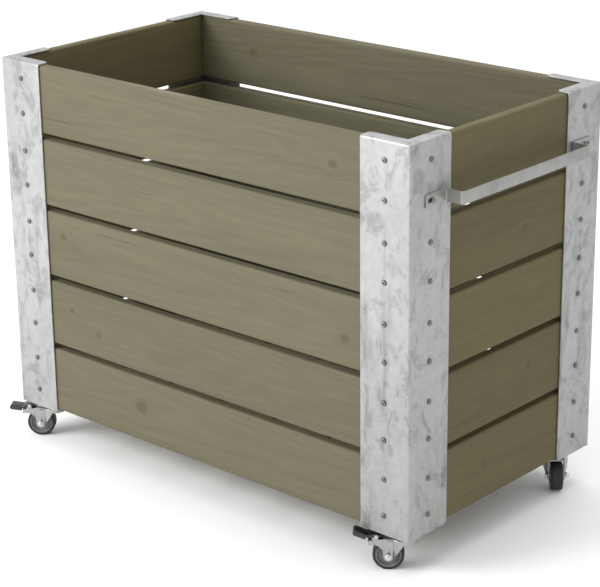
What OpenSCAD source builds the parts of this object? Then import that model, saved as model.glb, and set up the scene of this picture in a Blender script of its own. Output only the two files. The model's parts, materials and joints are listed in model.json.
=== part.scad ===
// Garden cart: an open box of stained boards between folded steel corner posts, on four swivel castors.
// X runs along the long side with the push handle at +X, the front long side faces -Y, and Z is up.
// The origin is on the ground, under the middle of the box.

/* [Box] */
// Length over the two end faces of the posts
box_len = 890; // [700:5:1100]
// Width over the front and back faces of the posts
box_wid = 488; // [400:2:600]

/* [Boards] */
// Height of one wall board
board_h = 117.5; // [90:0.5:150]
// Thickness of the wall boards
board_t = 19; // [16:0.5:26]
// Open gap between one board and the next
board_gap = 9; // [5:0.5:14]
// Radius of the boards' long edges
board_round = 4; // [1:0.5:6]
// Height of the lowest board above the foot of the posts
board_lift = 4; // [3.5:0.5:20]
// Room left between a board's end and what it butts against
board_end_play = 0.3; // [0.1:0.1:2]

/* [Posts] */
// Thickness of the folded sheet steel
steel_t = 2; // [1.5:0.25:3]
// Width of each leg of a post
post_leg = 94; // [80:1:120]
// Outer radius of the folds
fold_r = 4; // [3.5:0.5:8]
// Depth of the tabs folded in over the board tops
tab_depth = 23; // [16:0.5:30]
// Radius of the tabs' free corners
tab_round = 6; // [2:0.5:9]
// Gap between the board tops and the tabs
tab_play = 0.5; // [0.3:0.1:3]
// Width of the stiffening lip along each leg's free edge
lip_w = 10; // [6:1:16]
// How far the lip is set outwards
lip_set = 0.8; // [0.4:0.1:2]
// Side of the square foot plate that carries the castor
foot_w = 80; // [70:1:88]
// Size of the clipped bottom corner of each leg
clip = 5; // [2:1:12]

/* [Screws] */
// Diameter of the pan heads
head_d = 8; // [6:0.5:10]
// Height of the pan heads
head_h = 2.6; // [1.5:0.1:4]
// Diameter of the screw shanks
shank_d = 4.2; // [3:0.1:5]
// Length of a wall screw under its head
screw_len = 18; // [14:0.5:20]
// Distance of each screw column from the post's outer corner
screw_col = 48; // [42:1:60]
// Distance between the two screws of one board
screw_pitch = 61; // [40:1:75]
// Radial play of a shank in the hole it passes
hole_play = 0.05; // [0.02:0.01:0.1]

/* [Handle] */
// Height of the handle's flat strip
strip_h = 20; // [15:1:30]
// Thickness of the strip
strip_t = 3; // [2:0.5:5]
// Reach of the strip's outer face past the posts
handle_reach = 34; // [26:1:60]
// Inner radius of the strip's bends
strip_bend = 2; // [1:0.5:5]
// Distance of the strip's ends from the post's outer corner
strip_end = 33; // [24:1:38]
// Distance from the post's outer corner at which the strip turns outwards
strip_turn = 78; // [70:1:86]
// Length of the slot at each end
slot_len = 16; // [9:1:20]
// Width of the slot
slot_w = 6; // [5:0.5:7]

/* [Floor] */
// Thickness of the floor slats
slat_t = 19; // [15:0.5:24]
// Gap between floor slats
slat_gap = 8; // [4:0.5:20]
// Thickness of the cleats, across the box
cleat_t = 22; // [18:1:30]
// Height of the cleats
cleat_h = 30; // [24:1:45]
// Height of the cleats' underside above the foot of the posts
cleat_lift = 15; // [13:1:40]
// Play round the floor pieces
floor_play = 1.5; // [0.5:0.5:5]
// Length of the slat and cleat screws
floor_screw_len = 34; // [26:1:38]
// Head diameter of the slat and cleat screws
floor_head_d = 8.4; // [7:0.2:10]

/* [Castors] */
// Distance of each swivel axis from both outer faces of its post
castor_inset = 40; // [38:1:46]
// Overall height of a castor
castor_h = 69; // [67:0.5:80]
// Diameter of the wheels
wheel_d = 50; // [45:1:52]
// Width of the tyre
tyre_w = 20; // [16:1:22]
// Radial thickness of the tyre
tyre_t = 4.5; // [3:0.5:6]
// Radius of the tyre's shoulders
tyre_round = 3; // [1:0.5:4]
// Trail of the axle behind the swivel axis
trail = 24; // [20:0.5:26]
// Thickness of the pressed fork
fork_t = 2; // [1.5:0.25:2.5]
// Gap between the tyre and each fork cheek
cheek_play = 2; // [1:0.25:3]
// Gap between the tyre and the crown above it
crown_play = 3; // [2.5:0.25:5]
// Radius of the fork's round crown
crown_r = 22; // [21:0.5:26]
// Reach of the fork's tail behind the swivel axis
tail_reach = 56; // [54:1:60]
// Drop of the tail below the crown
tail_drop = 4; // [3:0.5:5]
// Radius of the cheeks' ends round the axle
boss_r = 8; // [7:0.5:9]
// Diameter of the axle bolt
axle_d = 6; // [5:0.5:7]
// Width across the flats of the axle's head and nut
axle_flats = 10; // [8:0.5:11]
// Diameter of the bolt on the swivel axis
king_d = 8; // [6:0.5:9]
// Width across the flats of the swivel bolt's head and nut
king_flats = 13; // [10:0.5:14]
// Outer diameter of the bush in the swivel head
bush_d = 14; // [12:0.5:16]
// Diameter of the bearing balls
ball_d = 5; // [4:0.25:5.5]
// Number of balls in each swivel
ball_count = 12; // [8:1:14]
// Radial play of the swivel bush and of the wheel on its axle
run_play = 0.05; // [0.02:0.01:0.1]

/* [Brakes] */
// Swing of the brake pedal from pressed down to released
pedal_swing = 14; // [8:1:15]
// Height of the pedal's hinge above the crown
hinge_lift = 3; // [3:0.25:5]
// Distance of the pedal's hinge behind the swivel axis
hinge_back = 43; // [41:0.5:45]
// Diameter of the hinge pin
hinge_pin_d = 3; // [2.5:0.25:3.5]
// Gap left between the brake shoe and the tyre when pressed down
shoe_gap = 0.35; // [0.3:0.05:1]
// Length of the pad from the lever to its tip
pad_len = 22; // [16:1:26]
// Thickness of the pad
pad_t = 8.5; // [6:0.5:11]
// Width of the pad
pad_w = 22; // [16:1:26]

/* [Hidden] */
$fn = 48;
eps = 0.01;

// Corners in order: front left, front right, back right, back left, as signs along X and Y
CORNERS = [[-1, -1], [1, -1], [1, 1], [-1, 1]];
FRONT_LEFT = 0;
FRONT_RIGHT = 1;
BACK_RIGHT = 2;
BACK_LEFT = 3;
// Direction in which each castor trails at rest, in degrees from +X
TRAIL_AZIMUTH = [218, 218, -49, 105];
// How far each brake pedal is lifted at rest
PEDAL_REST = [0, pedal_swing];

// Walls
board_rows = 5;
board_pitch = board_h + board_gap;
foot_z = castor_h;
post_h = board_lift + board_rows * board_h + (board_rows - 1) * board_gap + tab_play + steel_t;
board_z0 = foot_z + board_lift;
fold_play = 0.2;
tab_inset = 1;
hole_past = 0.5;
screw_tip_d = 0.6;
head_sink = 0.3;
long_len = box_len - 2 * (fold_r + fold_play);
end_len = box_wid - 2 * (steel_t + board_t + board_end_play);
inside_len = box_len - 2 * (steel_t + board_t);
inside_wid = box_wid - 2 * (steel_t + board_t);

// Floor
slat_count = 7;
slat_span = inside_len - 2 * floor_play;
slat_w = (slat_span - (slat_count - 1) * slat_gap) / slat_count;
slat_len = inside_wid - 2 * floor_play;
cleat_z = foot_z + cleat_lift;
slat_z = cleat_z + cleat_h;
cleat_screw_count = 5;
floor_head_h = 2.6;

// Handle
handle_z = board_z0 + (board_rows - 1) * board_pitch + (board_h - screw_pitch) / 2;
slot_shift = 4;

// Castors, each drawn with its swivel axis on Z, trailing towards +X
wheel_r = wheel_d / 2;
crown_z = wheel_d + crown_play + fork_t;
fork_gap = tyre_w + 2 * cheek_play;
fork_half = fork_gap / 2 + fork_t;
axle_z = wheel_r;
crown_under = crown_z - fork_t;
bend_x = trail + 6;
tail_z = crown_under - tail_drop;
tail_r = 3;
lead = 32;
lead_x = trail - boss_r * cos(lead);
lead_z = axle_z - boss_r * sin(lead);
crease_x = sqrt(pow(crown_r - fork_t, 2) - pow(fork_half - fork_t, 2));
ring_z = crown_under - 5;
scoop_in = 1.5;
scoop_r = 15.5;
scoop_up = 3.5;
bush_r = bush_d / 2;
washer_t = 2;
keep_z = crown_z - fork_t - 0.3;
keep_r = bush_r + 6;
race_play = 0.1;
race_z = crown_z + ball_d + race_play;
skirt_r = crown_r - 2;
king_nut_h = 4;
king_head_h = 5.3;
king_washer_t = 1.6;
king_z = foot_z + steel_t + king_washer_t;
king_end = 1.2;
axle_head_h = 4.5;
axle_nut_h = 5;
axle_tip = 3;

// Brakes
hinge_z = crown_z + hinge_lift;
lever_half = fork_gap / 2 - 0.3;
ear_r = 3.6;
slot_x = trail + 8;
slot_end = hinge_back + 7;
pin_head_d = 4.6;
pin_head_h = 1;
pad_tilt = 7;
neck_x = 15;
neck_y = -6;
shoe_dir = atan2(hinge_z - axle_z, hinge_back - trail);
shoe_reach = norm([hinge_back - trail, hinge_z - axle_z]) - wheel_r - shoe_gap;

function level_z(row) = board_z0 + (row - 1) * board_pitch;
function screw_zs() = [for (row = [1:board_rows], s = [-1, 1])
    level_z(row) + board_h / 2 + s * screw_pitch / 2];
function castor_pos(c) = [CORNERS[c][0] * (box_len / 2 - castor_inset),
    CORNERS[c][1] * (box_wid / 2 - castor_inset)];

module hex(flats, h) {
    cylinder(r = flats / sqrt(3), h = h, $fn = 6);
}

// ---- Wall boards ----

// Cross-section of a board, thickness along X and height along Y, from its outer lower corner
module board_section(t, h, r) {
    translate([r, 0]) square([t - 2 * r, h]);
    translate([0, r]) square([t, h - 2 * r]);
    for (x = [r, t - r], y = [r, h - r]) translate([x, y]) circle(r = r);
}

// A board lying along X, its outer face on y = 0 and its body towards +Y, with pilot holes at both ends
module board(len, hole_in) {
    difference() {
        rotate([90, 0, 90]) translate([0, 0, -len / 2])
            linear_extrude(height = len) board_section(board_t, board_h, board_round);
        for (sx = [-1, 1], sz = [-1, 1])
            translate([sx * (len / 2 - hole_in), -eps, board_h / 2 + sz * screw_pitch / 2])
                rotate([-90, 0, 0])
                    cylinder(d = shank_d + 2 * hole_play, h = screw_len - steel_t + hole_past + eps);
    }
}

module long_board(row, side) {
    turn = side < 0 ? 0 : 180;
    color([0.43, 0.41, 0.31]) difference() {
        rotate([0, 0, turn]) translate([0, -box_wid / 2 + steel_t, level_z(row)])
            board(long_len, screw_col - fold_r - fold_play);
        if (row == 1) cleat_screw_set(hole_play);
    }
}

module end_board(row, side) {
    turn = side < 0 ? -90 : 90;
    color([0.38, 0.35, 0.24]) rotate([0, 0, turn])
        translate([0, -box_len / 2 + steel_t, level_z(row)])
            board(end_len, screw_col - steel_t - board_t - board_end_play);
}

// ---- Steel corner posts ----

// Plan of a post, its outer corner at the origin and its legs along +X and +Y
module post_plan() {
    module leg() {
        translate([fold_r, 0]) square([post_leg - lip_w - fold_r, steel_t]);
        polygon([[post_leg - lip_w - eps, 0], [post_leg, -lip_set],
            [post_leg, steel_t - lip_set], [post_leg - lip_w - eps, steel_t]]);
    }
    leg();
    mirror([1, -1]) leg();
    translate([fold_r, fold_r]) intersection() {
        difference() {
            circle(r = fold_r);
            circle(r = fold_r - steel_t);
        }
        translate([-fold_r, -fold_r]) square(fold_r);
    }
}

// A tab folded in from a leg that runs along +X, with its top at z = 0
module tab() {
    length = post_leg - tab_inset;
    translate([tab_inset, 0, 0]) difference() {
        union() {
            translate([0, fold_r, -steel_t]) cube([length, tab_depth - fold_r, steel_t]);
            translate([0, fold_r, -fold_r]) rotate([90, 0, 90]) linear_extrude(height = length)
                intersection() {
                    difference() {
                        circle(r = fold_r);
                        circle(r = fold_r - steel_t);
                    }
                    translate([-fold_r, 0]) square(fold_r);
                }
        }
        translate([length - tab_round, tab_depth - tab_round, -steel_t - eps]) difference() {
            cube([tab_round + eps, tab_round + eps, steel_t + 2 * eps]);
            cylinder(r = tab_round, h = steel_t + 2 * eps);
        }
    }
}

module post(c) {
    color([0.75, 0.76, 0.76])
    translate([CORNERS[c][0] * box_len / 2, CORNERS[c][1] * box_wid / 2, foot_z])
    mirror([CORNERS[c][0] > 0 ? 1 : 0, 0, 0]) mirror([0, CORNERS[c][1] > 0 ? 1 : 0, 0])
    difference() {
        union() {
            linear_extrude(height = post_h - fold_r) post_plan();
            translate([0, 0, post_h]) tab();
            translate([0, 0, post_h]) mirror([1, -1, 0]) tab();
            translate([steel_t / 2, steel_t / 2, 0])
                cube([foot_w - steel_t / 2, foot_w - steel_t / 2, steel_t]);
        }
        for (z = screw_zs()) {
            translate([screw_col, -1, z - foot_z]) rotate([-90, 0, 0])
                cylinder(d = shank_d + 2 * hole_play, h = steel_t + 2);
            translate([-1, screw_col, z - foot_z]) rotate([0, 90, 0])
                cylinder(d = shank_d + 2 * hole_play, h = steel_t + 2);
        }
        translate([castor_inset, castor_inset, -1])
            cylinder(d = king_d + 4 * hole_play, h = steel_t + 2);
        for (m = [0, 1]) mirror([m, -m, 0]) translate([post_leg, -lip_set - 1, 0])
            rotate([0, 45, 0]) translate([-clip / sqrt(2), 0, -clip / sqrt(2)])
                cube([sqrt(2) * clip, steel_t + lip_set + 2, sqrt(2) * clip]);
    }
}

// ---- Wall screws ----

// A pan-head screw driven towards +Y, the underside of its head on y = 0
module pan_screw() {
    rotate([-90, 0, 0]) {
        cylinder(d = shank_d, h = screw_len - shank_d);
        translate([0, 0, screw_len - shank_d]) cylinder(d1 = shank_d, d2 = screw_tip_d, h = shank_d);
        rotate_extrude() difference() {
            translate([0, -head_h]) square([head_d / 2, head_h]);
            translate([head_d / 2 - head_h / 2, -head_h]) difference() {
                square([head_h, head_h / 2]);
                translate([0, head_h / 2]) circle(r = head_h / 2);
            }
        }
    }
}

module post_screws() {
    color([0.7, 0.7, 0.7])
    for (c = CORNERS, z = screw_zs()) {
        held = c[0] > 0 && abs(z - handle_z) < eps ? strip_t : 0;
        translate([c[0] * (box_len / 2 - screw_col), c[1] * box_wid / 2, z])
            rotate([0, 0, c[1] < 0 ? 0 : 180]) pan_screw();
        translate([c[0] * (box_len / 2 + held), c[1] * (box_wid / 2 - screw_col), z])
            rotate([0, 0, c[0] < 0 ? -90 : 90]) pan_screw();
    }
}

// ---- Push handle ----

// Half of the bent strip in plan, for y > 0; x = 0 is the post's face
module strip_half() {
    end_y = box_wid / 2 - strip_end;
    turn_y = box_wid / 2 - strip_turn;
    outer = strip_bend + strip_t;
    out_y = turn_y - outer;
    run_y = out_y - strip_bend;
    translate([0, turn_y]) square([strip_t, end_y - turn_y]);
    translate([outer, turn_y]) bend() translate([-outer, -outer]) square(outer);
    translate([outer, out_y]) square([handle_reach - 2 * outer, strip_t]);
    translate([handle_reach - outer, run_y]) bend() square(outer);
    translate([handle_reach - strip_t, -eps]) square([strip_t, run_y + 2 * eps]);
}

module bend() {
    intersection() {
        difference() {
            circle(r = strip_bend + strip_t);
            circle(r = strip_bend);
        }
        children();
    }
}

module handle() {
    color([0.78, 0.79, 0.8])
    translate([box_len / 2, 0, handle_z - strip_h / 2]) difference() {
        linear_extrude(height = strip_h) {
            strip_half();
            mirror([0, 1]) strip_half();
        }
        for (s = [-1, 1]) translate([-1, s * (box_wid / 2 - screw_col + slot_shift), strip_h / 2])
            rotate([0, 90, 0]) {
                for (e = [-1, 1]) translate([0, e * (slot_len - slot_w) / 2, 0])
                    cylinder(d = slot_w, h = strip_t + 2);
                translate([-slot_w / 2, -(slot_len - slot_w) / 2, 0])
                    cube([slot_w, slot_len - slot_w, strip_t + 2]);
            }
    }
}

// ---- Floor ----

function slat_x(i) = -slat_span / 2 + slat_w / 2 + (i - 1) * (slat_w + slat_gap);
function slat_screws() = [for (i = [1:slat_count], s = [-1, 1], q = [-1, 1])
    [slat_x(i) + q * slat_w / 4, s * (inside_wid / 2 - cleat_t / 2)]];
function cleat_screw_x(i) = -slat_span / 2 + slat_span * (i + 0.5) / cleat_screw_count;

// A countersunk screw pointing down, the top of its head on z = 0; grow widens it for its hole
module flat_screw(grow) {
    d = shank_d + 2 * grow;
    head = floor_head_d + 2 * grow;
    translate([0, 0, -floor_screw_len + shank_d]) cylinder(d = d, h = floor_screw_len - shank_d);
    translate([0, 0, -floor_screw_len - 2 * grow])
        cylinder(d1 = screw_tip_d + 2 * grow, d2 = d, h = shank_d + 2 * grow);
    translate([0, 0, -floor_head_h - 2 * grow])
        cylinder(d1 = d, d2 = head, h = floor_head_h + 2 * grow);
    if (grow > 0) cylinder(d = head, h = 1);
}

module slat_screw_set(grow) {
    for (p = slat_screws()) translate([p[0], p[1], slat_z + slat_t - head_sink]) flat_screw(grow);
}

module cleat_screw_set(grow) {
    for (i = [0:cleat_screw_count - 1], s = [-1, 1])
        translate([cleat_screw_x(i), s * (inside_wid / 2 - cleat_t + head_sink), cleat_z + cleat_h / 3])
            rotate([s * 90, 0, 0]) flat_screw(grow);
}

module floor_cleat(side) {
    color([0.55, 0.5, 0.38])
    difference() {
        translate([-slat_span / 2, side > 0 ? inside_wid / 2 - cleat_t : -inside_wid / 2, cleat_z])
            cube([slat_span, cleat_t, cleat_h]);
        slat_screw_set(hole_play);
        cleat_screw_set(hole_play);
    }
}

module floor_slat(i) {
    color([0.5, 0.46, 0.34])
    difference() {
        translate([slat_x(i) - slat_w / 2, slat_len / 2, slat_z]) rotate([90, 0, 0])
            linear_extrude(height = slat_len) board_section(slat_w, slat_t, board_round / 2);
        slat_screw_set(hole_play);
    }
}

module floor_screws() {
    color([0.6, 0.6, 0.6]) {
        slat_screw_set(0);
        cleat_screw_set(0);
    }
}

// ---- Castors ----

// Places what is drawn with its swivel axis on Z at a corner, turned to that corner's trail
module at_castor(c) {
    translate([castor_pos(c)[0], castor_pos(c)[1], 0]) rotate([0, 0, TRAIL_AZIMUTH[c]]) children();
}

module castor_heads() {
    color([0.72, 0.73, 0.72])
    for (c = [0:3]) at_castor(c) rotate_extrude($fn = 64) polygon([
        [king_d / 2 + hole_play, keep_z - washer_t], [keep_r, keep_z - washer_t], [keep_r, keep_z],
        [bush_r, keep_z], [bush_r, race_z], [skirt_r - 2.5, race_z], [skirt_r - 2.5, crown_z + 1.2],
        [skirt_r - 1, crown_z + 1.2], [skirt_r, race_z + 1], [skirt_r, foot_z - 1.5],
        [skirt_r + 1, foot_z], [king_d / 2 + hole_play, foot_z]
    ]);
}

module castor_balls() {
    color([0.6, 0.6, 0.62])
    for (c = [0:3], i = [0:ball_count - 1]) at_castor(c) rotate([0, 0, i * 360 / ball_count])
        translate([(bush_r + skirt_r - 2.5) / 2, 0, crown_z + ball_d / 2 + race_play / 2])
            sphere(d = ball_d, $fn = 24);
}

module castor_bolts() {
    color([0.65, 0.66, 0.66])
    for (c = [0:3]) at_castor(c) {
        z_low = keep_z - washer_t - king_nut_h - king_end;
        translate([0, 0, z_low]) cylinder(d = king_d, h = king_z - z_low + eps);
        translate([0, 0, king_z - king_washer_t]) cylinder(d = 2 * king_d, h = king_washer_t);
        translate([0, 0, king_z]) hex(king_flats, king_head_h);
    }
}

module castor_nuts() {
    color([0.65, 0.66, 0.66])
    for (c = [0:3]) at_castor(c) translate([0, 0, keep_z - washer_t - king_nut_h]) difference() {
        hex(king_flats, king_nut_h);
        translate([0, 0, -1]) cylinder(d = king_d + 2 * hole_play, h = king_nut_h + 2);
    }
}

// Side outline of a fork cheek: X is back from the swivel axis, Y is height above the ground.
// Only a fork with a brake has the tail that carries the shelf and the hinge ears
module cheek_outline(has_brake) {
    tail_x = tail_reach - tail_r;
    difference() {
        union() {
            translate([trail, axle_z]) circle(r = boss_r);
            polygon([
                [lead_x, lead_z], [crease_x, lead_z + (lead_x - crease_x) / tan(lead)],
                [crease_x, crown_under + 0.5], [bend_x, crown_under + 0.5], [trail + boss_r, axle_z]
            ]);
            if (has_brake) {
                polygon([
                    [trail, crown_under + 0.5], [bend_x, crown_under + 0.5],
                    [tail_reach, tail_z + 0.5], [tail_reach, tail_z - tail_r], [tail_x, tail_z - 2 * tail_r],
                    [trail + boss_r + scoop_in, tail_z - 2 * tail_r], [trail + boss_r, axle_z], [trail, axle_z]
                ]);
                translate([tail_x, tail_z - tail_r]) circle(r = tail_r);
                translate([hinge_back, hinge_z]) circle(r = ear_r);
                translate([hinge_back - ear_r, tail_z]) square([2 * ear_r, hinge_z - tail_z]);
            }
        }
        translate([trail + boss_r + scoop_in + scoop_r, axle_z + scoop_up]) circle(r = scoop_r);
    }
}

// The pressed shelf in side outline, running back from the crown and dropping to its tail
module shelf_outline() {
    polygon([
        [bend_x - 1, crown_under], [bend_x, crown_under], [tail_reach, tail_z],
        [tail_reach, tail_z + fork_t], [bend_x, crown_z], [bend_x - 1, crown_z]
    ]);
}

module fork(c) {
    has_brake = c == FRONT_LEFT || c == FRONT_RIGHT;
    color([0.74, 0.75, 0.75])
    at_castor(c) difference() {
        union() {
            for (s = [-1, 1]) translate([0, s * (fork_half - fork_t / 2) + fork_t / 2, 0])
                rotate([90, 0, 0]) linear_extrude(height = fork_t) cheek_outline(has_brake);
            translate([0, 0, crown_under]) cylinder(r = crown_r, h = fork_t, $fn = 64);
            translate([0, -fork_half, crown_under]) cube([bend_x, 2 * fork_half, fork_t]);
            if (has_brake) translate([0, fork_half, 0]) rotate([90, 0, 0])
                linear_extrude(height = 2 * fork_half) shelf_outline();
            difference() {
                cylinder(r = crown_r, h = crown_z - 1, $fn = 64);
                translate([0, 0, -1]) cylinder(r = crown_r - fork_t, h = crown_z + 2, $fn = 64);
                translate([crease_x + 0.4, -crown_r - 1, -1])
                    cube([crown_r, 2 * crown_r + 2, crown_z + 2]);
                translate([0, crown_r + 1, 0]) rotate([90, 0, 0])
                    linear_extrude(height = 2 * crown_r + 2) polygon([
                        [lead_x, lead_z], [lead_x - (ring_z - lead_z) * tan(lead), ring_z],
                        [-crown_r - 1, ring_z], [-crown_r - 1, -1], [crease_x + 1, -1],
                        [crease_x + 1, lead_z - (crease_x + 1 - lead_x) / tan(lead)]
                    ]);
            }
        }
        translate([0, 0, crown_under - 1]) cylinder(r = bush_r + run_play, h = fork_t + 2, $fn = 64);
        translate([trail, fork_half + 1, axle_z]) rotate([90, 0, 0])
            cylinder(d = axle_d + 2 * hole_play, h = 2 * fork_half + 2);
        if (has_brake) {
            translate([hinge_back, fork_half + 1, hinge_z]) rotate([90, 0, 0])
                cylinder(d = hinge_pin_d + 2 * run_play, h = 2 * fork_half + 2);
            translate([slot_x, -fork_gap / 2, tail_z - 1])
                cube([slot_end - slot_x, fork_gap, crown_z - tail_z + 2]);
        }
    }
}

module rim(c) {
    hub_half = fork_gap / 2 - 0.3;
    rim_r = wheel_r - tyre_t;
    color([0.55, 0.56, 0.58])
    at_castor(c) translate([trail, 0, axle_z]) rotate([90, 0, 0]) rotate_extrude($fn = 64) polygon([
        [axle_d / 2 + run_play, -hub_half], [6, -hub_half], [7, -tyre_w / 4], [rim_r - 4, -tyre_w / 5],
        [rim_r - 2.5, -tyre_w / 2 + 0.8], [rim_r, -tyre_w / 2 + 0.8], [rim_r, tyre_w / 2 - 0.8],
        [rim_r - 2.5, tyre_w / 2 - 0.8], [rim_r - 4, tyre_w / 5], [7, tyre_w / 4], [6, hub_half],
        [axle_d / 2 + run_play, hub_half]
    ]);
}

module tyre(c) {
    color([0.08, 0.08, 0.08])
    at_castor(c) translate([trail, 0, axle_z]) rotate([90, 0, 0]) rotate_extrude($fn = 96)
        translate([wheel_r - tyre_t, -tyre_w / 2]) intersection() {
            union() {
                square([tyre_t - tyre_round, tyre_w]);
                translate([0, tyre_round]) square([tyre_t, tyre_w - 2 * tyre_round]);
                for (y = [tyre_round, tyre_w - tyre_round])
                    translate([tyre_t - tyre_round, y]) circle(r = tyre_round);
            }
            square([tyre_t, tyre_w]);
        }
}

module axle(c) {
    color([0.75, 0.75, 0.75])
    at_castor(c) translate([trail, 0, axle_z]) rotate([-90, 0, 0]) {
        translate([0, 0, -fork_half]) cylinder(d = axle_d, h = 2 * fork_half + axle_nut_h + axle_tip);
        translate([0, 0, -fork_half - axle_head_h]) hex(axle_flats, axle_head_h);
        translate([0, 0, fork_half]) hex(axle_flats, axle_nut_h);
    }
}

// ---- Brakes, drawn pressed down, with the hinge pin's axis on the origin ----

module at_brake(c) {
    at_castor(c) translate([hinge_back, 0, hinge_z]) rotate([0, -PEDAL_REST[c], 0]) rotate([90, 0, 0])
        children();
}

module pad_outline() {
    translate([neck_x, neck_y]) rotate(pad_tilt) {
        translate([0, -pad_t / 2]) square([pad_len - pad_t / 2, pad_t]);
        translate([pad_len - pad_t / 2, 0]) circle(r = pad_t / 2);
    }
}

module brake_lever(c) {
    color([0.1, 0.1, 0.1])
    at_brake(c) {
        translate([0, 0, -lever_half]) linear_extrude(height = 2 * lever_half) difference() {
            union() {
                circle(r = ear_r - 0.6);
                polygon([[-8, 4.2], [-1, 3], [6, 2.2], [neck_x + 1, neck_y + 3],
                    [neck_x + 1, neck_y - 2.5], [neck_x - 1, -5.9], [9, -4.9], [4, -3.4], [0, -3], [-7, 1.6]]);
            }
            pad_outline();
        }
        translate([0, 0, -fork_gap / 4]) linear_extrude(height = fork_gap / 2)
            rotate(shoe_dir) translate([-shoe_reach, -2.2]) square([shoe_reach, 4.4]);
        cylinder(d = hinge_pin_d, h = 2 * fork_half + 1, center = true);
        for (s = [-1, 1]) translate([0, 0, s * (fork_half + run_play + pin_head_h / 2)])
            cylinder(d = pin_head_d, h = pin_head_h, center = true);
    }
}

module brake_pad(c) {
    color([0.06, 0.06, 0.06])
    at_brake(c) translate([0, 0, -pad_w / 2]) linear_extrude(height = pad_w) pad_outline();
}

post(FRONT_LEFT);  // post_front_left
post(FRONT_RIGHT);  // post_front_right
post(BACK_RIGHT);  // post_back_right
post(BACK_LEFT);  // post_back_left
long_board(1, -1);  // front_board_1
long_board(2, -1);  // front_board_2
long_board(3, -1);  // front_board_3
long_board(4, -1);  // front_board_4
long_board(5, -1);  // front_board_5
long_board(1, 1);  // back_board_1
long_board(2, 1);  // back_board_2
long_board(3, 1);  // back_board_3
long_board(4, 1);  // back_board_4
long_board(5, 1);  // back_board_5
end_board(1, -1);  // left_board_1
end_board(2, -1);  // left_board_2
end_board(3, -1);  // left_board_3
end_board(4, -1);  // left_board_4
end_board(5, -1);  // left_board_5
end_board(1, 1);  // right_board_1
end_board(2, 1);  // right_board_2
end_board(3, 1);  // right_board_3
end_board(4, 1);  // right_board_4
end_board(5, 1);  // right_board_5
post_screws();
handle();
floor_cleat(-1);  // floor_cleat_front
floor_cleat(1);  // floor_cleat_back
floor_slat(1);  // floor_slat_1
floor_slat(2);  // floor_slat_2
floor_slat(3);  // floor_slat_3
floor_slat(4);  // floor_slat_4
floor_slat(5);  // floor_slat_5
floor_slat(6);  // floor_slat_6
floor_slat(7);  // floor_slat_7
floor_screws();
castor_heads();
castor_bolts();
castor_nuts();
castor_balls();
fork(FRONT_LEFT);  // fork_front_left
fork(FRONT_RIGHT);  // fork_front_right
fork(BACK_RIGHT);  // fork_back_right
fork(BACK_LEFT);  // fork_back_left
rim(FRONT_LEFT);  // rim_front_left
rim(FRONT_RIGHT);  // rim_front_right
rim(BACK_RIGHT);  // rim_back_right
rim(BACK_LEFT);  // rim_back_left
tyre(FRONT_LEFT);  // tyre_front_left
tyre(FRONT_RIGHT);  // tyre_front_right
tyre(BACK_RIGHT);  // tyre_back_right
tyre(BACK_LEFT);  // tyre_back_left
axle(FRONT_LEFT);  // axle_front_left
axle(FRONT_RIGHT);  // axle_front_right
axle(BACK_RIGHT);  // axle_back_right
axle(BACK_LEFT);  // axle_back_left
brake_lever(FRONT_LEFT);  // brake_lever_front_left
brake_lever(FRONT_RIGHT);  // brake_lever_front_right
brake_pad(FRONT_LEFT);  // brake_pad_front_left
brake_pad(FRONT_RIGHT);  // brake_pad_front_right
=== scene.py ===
import json
import math

import bmesh
import bpy
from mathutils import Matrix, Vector


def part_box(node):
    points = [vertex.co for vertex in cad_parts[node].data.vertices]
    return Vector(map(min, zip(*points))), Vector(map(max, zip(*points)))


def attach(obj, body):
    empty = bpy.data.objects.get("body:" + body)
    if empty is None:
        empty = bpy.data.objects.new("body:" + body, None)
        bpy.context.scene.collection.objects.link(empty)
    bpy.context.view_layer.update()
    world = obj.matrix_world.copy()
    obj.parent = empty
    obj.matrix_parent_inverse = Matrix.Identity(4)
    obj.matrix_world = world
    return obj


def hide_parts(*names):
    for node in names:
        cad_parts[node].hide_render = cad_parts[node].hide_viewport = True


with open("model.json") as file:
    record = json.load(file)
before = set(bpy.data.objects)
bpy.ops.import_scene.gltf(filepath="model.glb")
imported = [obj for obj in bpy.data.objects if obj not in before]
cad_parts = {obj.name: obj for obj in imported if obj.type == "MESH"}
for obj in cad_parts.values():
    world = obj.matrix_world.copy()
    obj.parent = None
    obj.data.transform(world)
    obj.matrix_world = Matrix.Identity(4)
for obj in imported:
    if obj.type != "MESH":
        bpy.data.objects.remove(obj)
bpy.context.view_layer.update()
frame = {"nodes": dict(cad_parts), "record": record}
NODES = frame["nodes"]
JOINTS = {j["name"]: j for j in frame["record"]["behaviour"]["joints"]}

# ---------------------------------------------------------------- camera
# A long lens set above the cart's near right corner, looking down its front side and its handle end.

camera = bpy.data.objects.new("camera", bpy.data.cameras.new("camera"))
bpy.context.scene.collection.objects.link(camera)
camera.data.sensor_width = 36
camera.data.lens = 121.0
camera.data.clip_end = 50
camera.location = (2.1737, -2.4134, 1.4688)
camera.rotation_euler = (math.radians(90 - 19.7), 0, math.radians(41.86))
camera.rotation_euler.rotate_axis("Z", math.radians(-0.72))
bpy.context.scene.camera = camera

# ---------------------------------------------------------------- light and floor
# A white studio: a big soft panel in front on the left, a weaker one above and a white sky.


def panel(name, place, aim, size, power):
    lamp = bpy.data.objects.new(name, bpy.data.lights.new(name, "AREA"))
    lamp.data.shape = "RECTANGLE"
    lamp.data.size, lamp.data.size_y = size
    lamp.data.energy = power
    lamp.location = place
    lamp.rotation_euler = (Vector(aim) - Vector(place)).to_track_quat("-Z", "Y").to_euler()
    bpy.context.scene.collection.objects.link(lamp)


panel("key_light", (-1.7, -3.3, 2.2), (0, 0, 0.35), (2.2, 1.8), 150)
panel("top_light", (0.2, 0.6, 3.2), (0, 0, 0.4), (2.2, 1.6), 30)

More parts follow.
